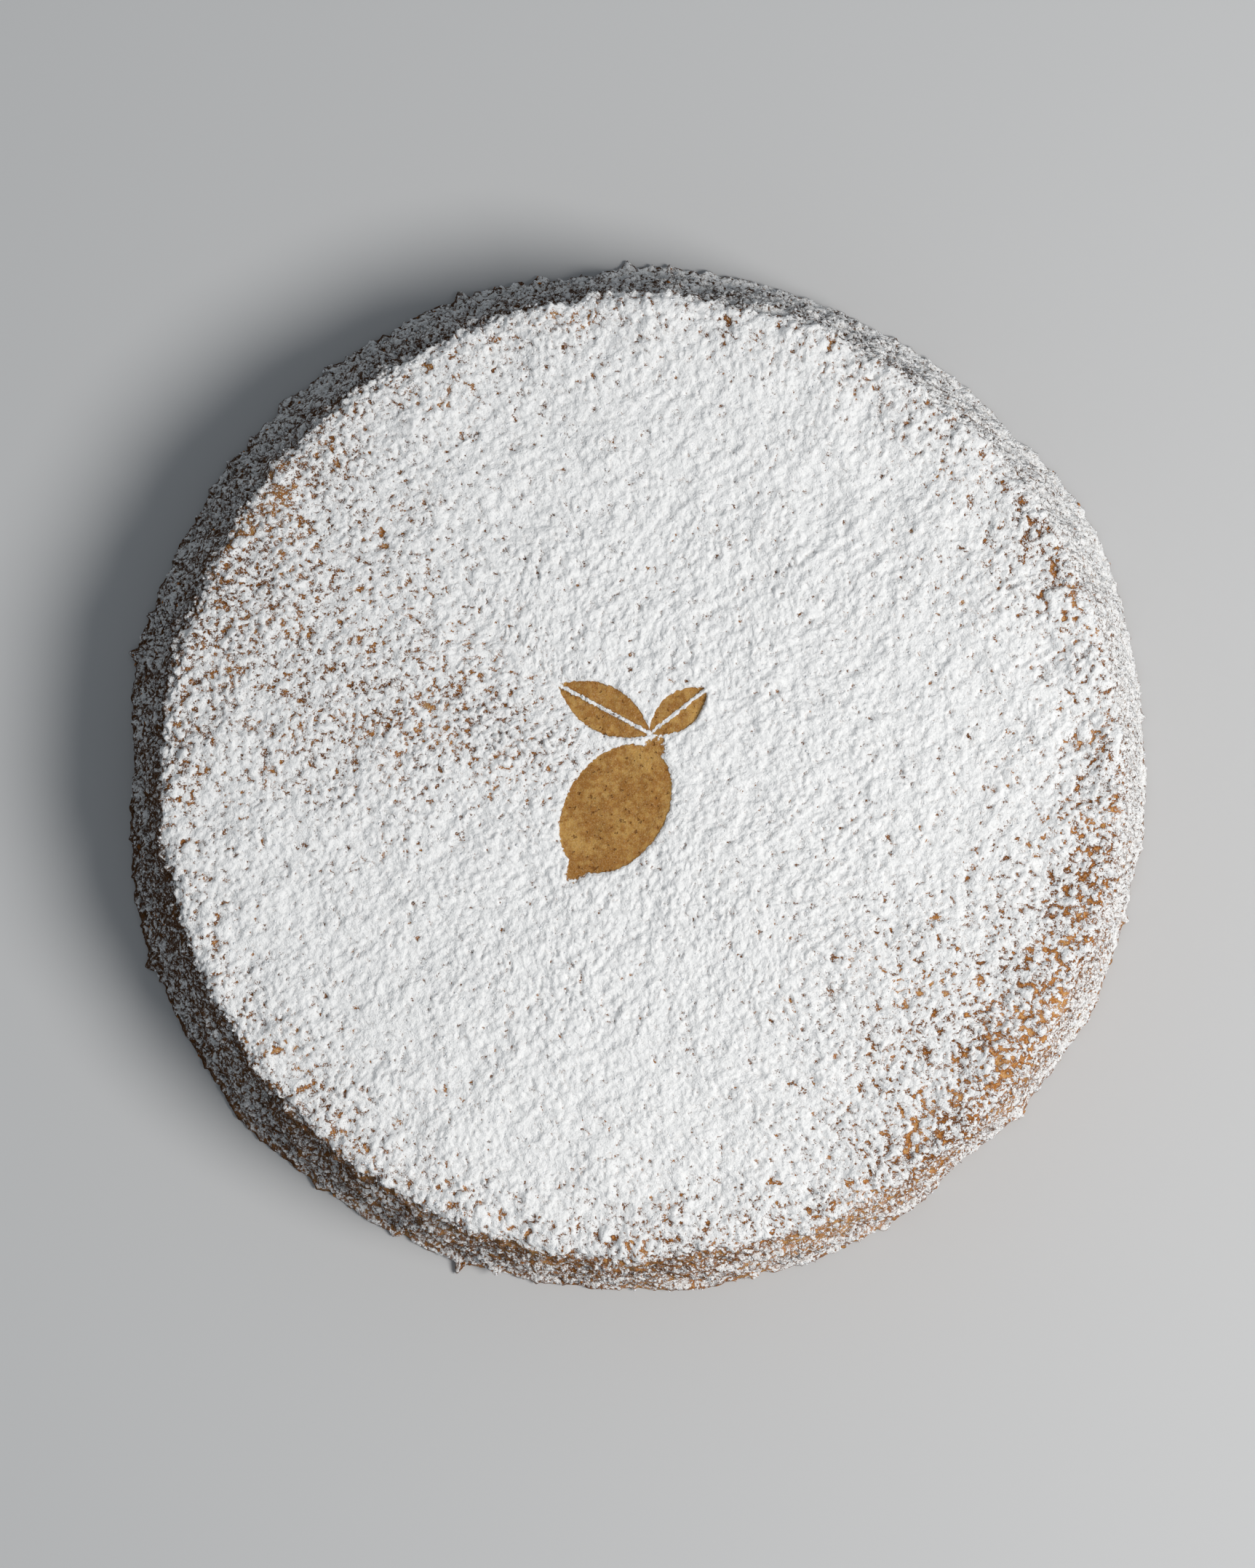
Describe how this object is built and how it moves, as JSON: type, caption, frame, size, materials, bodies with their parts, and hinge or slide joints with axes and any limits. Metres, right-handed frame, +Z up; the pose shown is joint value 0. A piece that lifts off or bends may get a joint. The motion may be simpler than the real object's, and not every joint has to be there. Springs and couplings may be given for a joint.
{
  "type": "lemon almond cake",
  "caption": "Round uncut lemon almond cake with flared sides and a ragged base lip, dusted with icing sugar and stencilled with a lemon and leaves.",
  "frame": {"origin": "middle of the footprint, on the surface the cake stands on", "axes": "+Z up through the sugared top; +Y towards the top of the picture and of the stencilled fruit's leaves; +X to the right in the picture"},
  "size_m": [0.2592, 0.262, 0.0466],
  "materials": {
    "icing_sugar": "thick, soft, lumpy dusting of white icing sugar, fully matt",
    "baked_crust": "golden to dark brown baked almond crust, coarse and crumbly, fully matt"
  },
  "bodies": {
    "root": {"cake": "icing_sugar"}
  },
  "joints": []
}
